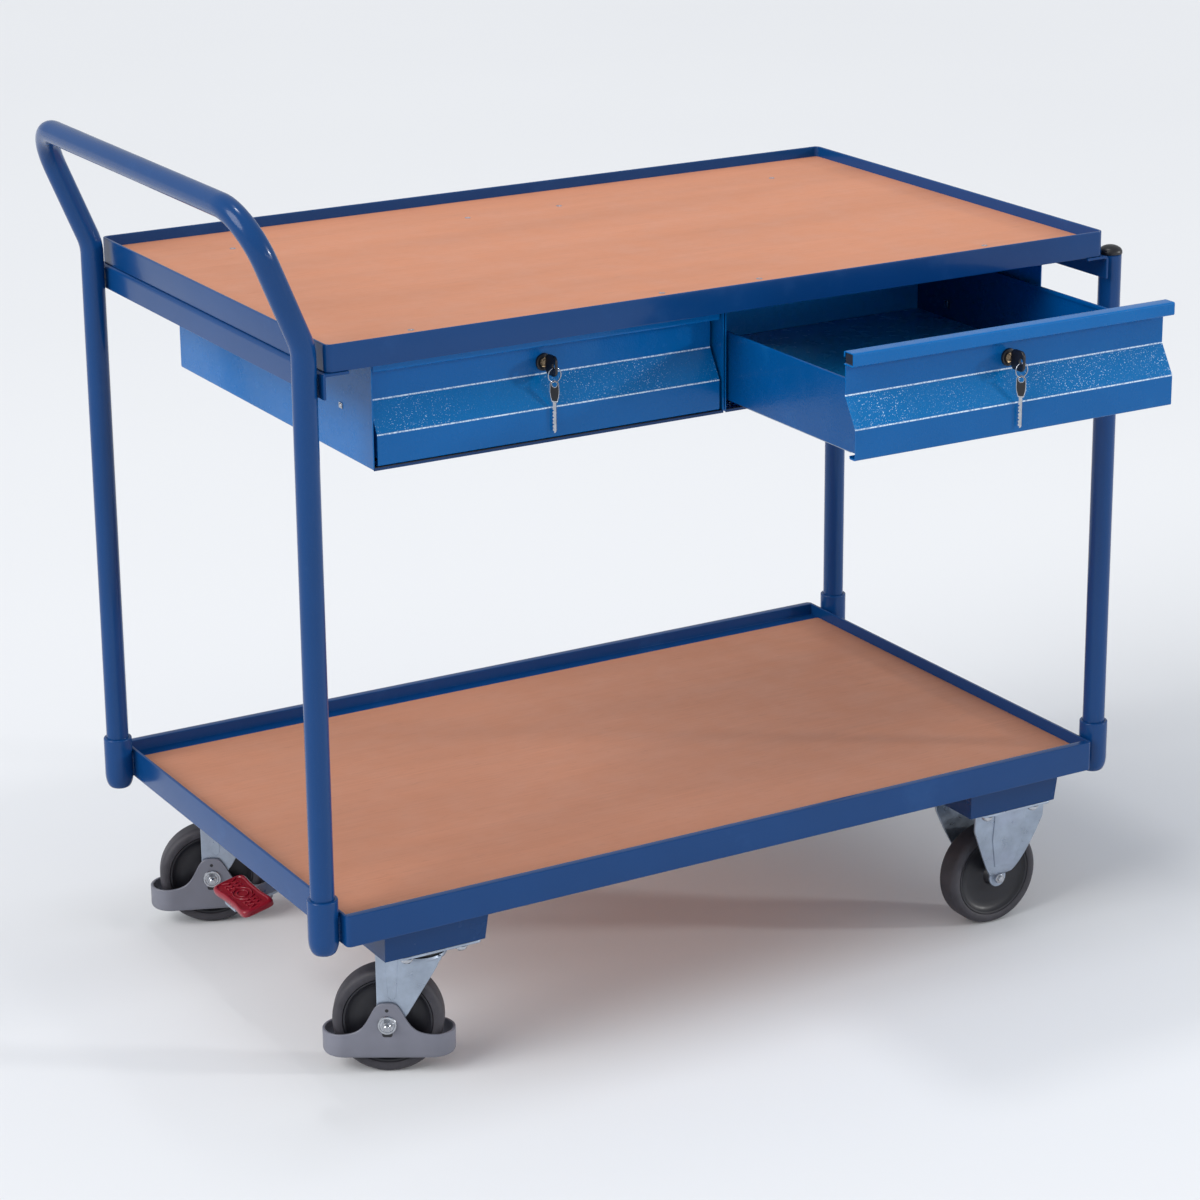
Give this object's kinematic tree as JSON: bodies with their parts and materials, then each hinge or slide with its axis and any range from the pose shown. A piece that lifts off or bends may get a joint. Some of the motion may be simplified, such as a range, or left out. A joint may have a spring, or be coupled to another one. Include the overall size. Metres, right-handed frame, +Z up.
{
  "type": "table trolley with drawers",
  "caption": "Steel table trolley with upper and lower boards, two hung lockable drawers on slides, a bent-tube push handle, swivel and fixed castors and a foot brake pedal.",
  "frame": {"origin": "on the floor, under the middle of the overall box with the right drawer part open", "axes": "+X from the push handle to the far end, +Y from the drawer side to the back, +Z up"},
  "size_m": [1.1262, 0.8338, 1.016],
  "materials": {
    "blue_paint": "gloss powder coat",
    "drawer_paint": "gloss powder coat with orange peel",
    "beech_board": "beech-pattern decorative board, satin",
    "zinc_steel": "bright zinc plating",
    "grey_tyre": "grey thermoplastic rubber, matt",
    "hub_plastic": "dark moulded polyamide",
    "guard_plastic": "grey moulded plastic, fine texture",
    "pedal_plastic": "crimson moulded plastic",
    "black_plastic": "black moulded plastic",
    "lock_brass": "nickel-worn brass cylinder"
  },
  "bodies": {
    "root": {"bottom_board": "beech_board", "bottom_tray_frame": "blue_paint", "brake_bracket_front": "zinc_steel", "brake_bracket_rear": "zinc_steel", "castor_channel_left": "blue_paint", "castor_channel_right": "blue_paint", "castor_head_front_left": "zinc_steel", "castor_head_rear_left": "zinc_steel", "cross_rail_left": "blue_paint", "cross_rail_right": "blue_paint", "drawer_housing_left": "blue_paint", "drawer_housing_right": "blue_paint", "fixed_castor_bracket_front_right": "zinc_steel", "fixed_castor_bracket_rear_right": "zinc_steel", "guide_rail_left_a": "zinc_steel", "guide_rail_left_b": "zinc_steel", "guide_rail_right_a": "zinc_steel", "guide_rail_right_b": "zinc_steel", "handle_frame": "blue_paint", "post_cap_front": "black_plastic", "post_cap_rear": "black_plastic", "post_front_right": "blue_paint", "post_rear_right": "blue_paint", "top_board": "beech_board", "top_tray_frame": "blue_paint"},
    "drawer_left": {"drawer_box_left": "drawer_paint", "drawer_front_left": "drawer_paint", "drawer_runner_left_a": "zinc_steel", "drawer_runner_left_b": "zinc_steel", "lock_barrel_left": "black_plastic"},
    "lock_left": {"lock_core_left": "lock_brass", "key_left": "black_plastic"},
    "keys_left": {"key_ring_left": "zinc_steel", "spare_key_left": "black_plastic"},
    "drawer_right": {"drawer_box_right": "drawer_paint", "drawer_front_right": "drawer_paint", "drawer_runner_right_a": "zinc_steel", "drawer_runner_right_b": "zinc_steel", "lock_barrel_right": "black_plastic"},
    "lock_right": {"lock_core_right": "lock_brass", "key_right": "black_plastic"},
    "keys_right": {"key_ring_right": "zinc_steel", "spare_key_right": "black_plastic"},
    "castor_front_left": {"castor_fork_front_left": "zinc_steel", "castor_guard_front_left": "guard_plastic", "castor_axle_front_left": "zinc_steel"},
    "wheel_front_left": {"tyre_front_left": "grey_tyre", "wheel_hub_front_left": "hub_plastic"},
    "wheel_front_right": {"tyre_front_right": "grey_tyre", "wheel_hub_front_right": "hub_plastic"},
    "castor_rear_left": {"castor_fork_rear_left": "zinc_steel", "castor_guard_rear_left": "guard_plastic", "castor_axle_rear_left": "zinc_steel"},
    "wheel_rear_left": {"tyre_rear_left": "grey_tyre", "wheel_hub_rear_left": "hub_plastic"},
    "wheel_rear_right": {"tyre_rear_right": "grey_tyre", "wheel_hub_rear_right": "hub_plastic"},
    "brake": {"brake_shaft": "zinc_steel", "brake_pedal": "pedal_plastic"}
  },
  "joints": [
    {"name": "drawer_left_slide", "type": "slide", "parent": "root", "child": "drawer_left", "axis": [0, -1, 0], "range_m": [0, 0.36]},
    {"name": "lock_left_turn", "type": "hinge", "parent": "drawer_left", "child": "lock_left", "pos_m": [-0.19107, -0.1409, 0.7937], "axis": [0, 1, 0], "range_deg": [0, 90]},
    {"name": "keys_left_swing", "type": "hinge", "parent": "lock_left", "child": "keys_left", "pos_m": [-0.19107, -0.1649, 0.7923], "axis": [0, -1, 0], "range_deg": [-25, 25]},
    {"name": "drawer_right_slide", "type": "slide", "parent": "root", "child": "drawer_right", "axis": [0, -1, 0], "range_m": [-0.247, 0.113]},
    {"name": "lock_right_turn", "type": "hinge", "parent": "drawer_right", "child": "lock_right", "pos_m": [0.24293, -0.3879, 0.7937], "axis": [0, 1, 0], "range_deg": [0, 90]},
    {"name": "keys_right_swing", "type": "hinge", "parent": "lock_right", "child": "keys_right", "pos_m": [0.24293, -0.4119, 0.7923], "axis": [0, -1, 0], "range_deg": [-25, 25]},
    {"name": "castor_front_left_swivel", "type": "hinge", "parent": "root", "child": "castor_front_left", "pos_m": [-0.35557, -0.1334, 0.155], "axis": [0, 0, 1], "continuous": true},
    {"name": "wheel_front_left_spin", "type": "hinge", "parent": "castor_front_left", "child": "wheel_front_left", "pos_m": [-0.38561, -0.11543, 0.0625], "axis": [0.5133, 0.8582, 0], "continuous": true},
    {"name": "wheel_front_right_spin", "type": "hinge", "parent": "root", "child": "wheel_front_right", "pos_m": [0.42392, -0.1334, 0.0625], "axis": [0, 1, 0], "continuous": true},
    {"name": "castor_rear_left_swivel", "type": "hinge", "parent": "root", "child": "castor_rear_left", "pos_m": [-0.35557, 0.3492, 0.155], "axis": [0, 0, 1], "continuous": true},
    {"name": "wheel_rear_left_spin", "type": "hinge", "parent": "castor_rear_left", "child": "wheel_rear_left", "pos_m": [-0.38803, 0.36231, 0.0625], "axis": [0.3746, 0.9272, 0], "continuous": true},
    {"name": "wheel_rear_right_spin", "type": "hinge", "parent": "root", "child": "wheel_rear_right", "pos_m": [0.42392, 0.3492, 0.0625], "axis": [0, 1, 0], "continuous": true},
    {"name": "brake_pedal_press", "type": "hinge", "parent": "root", "child": "brake", "pos_m": [-0.36107, 0.1079, 0.156], "axis": [0, -1, 0], "range_deg": [0, 15]}
  ]
}
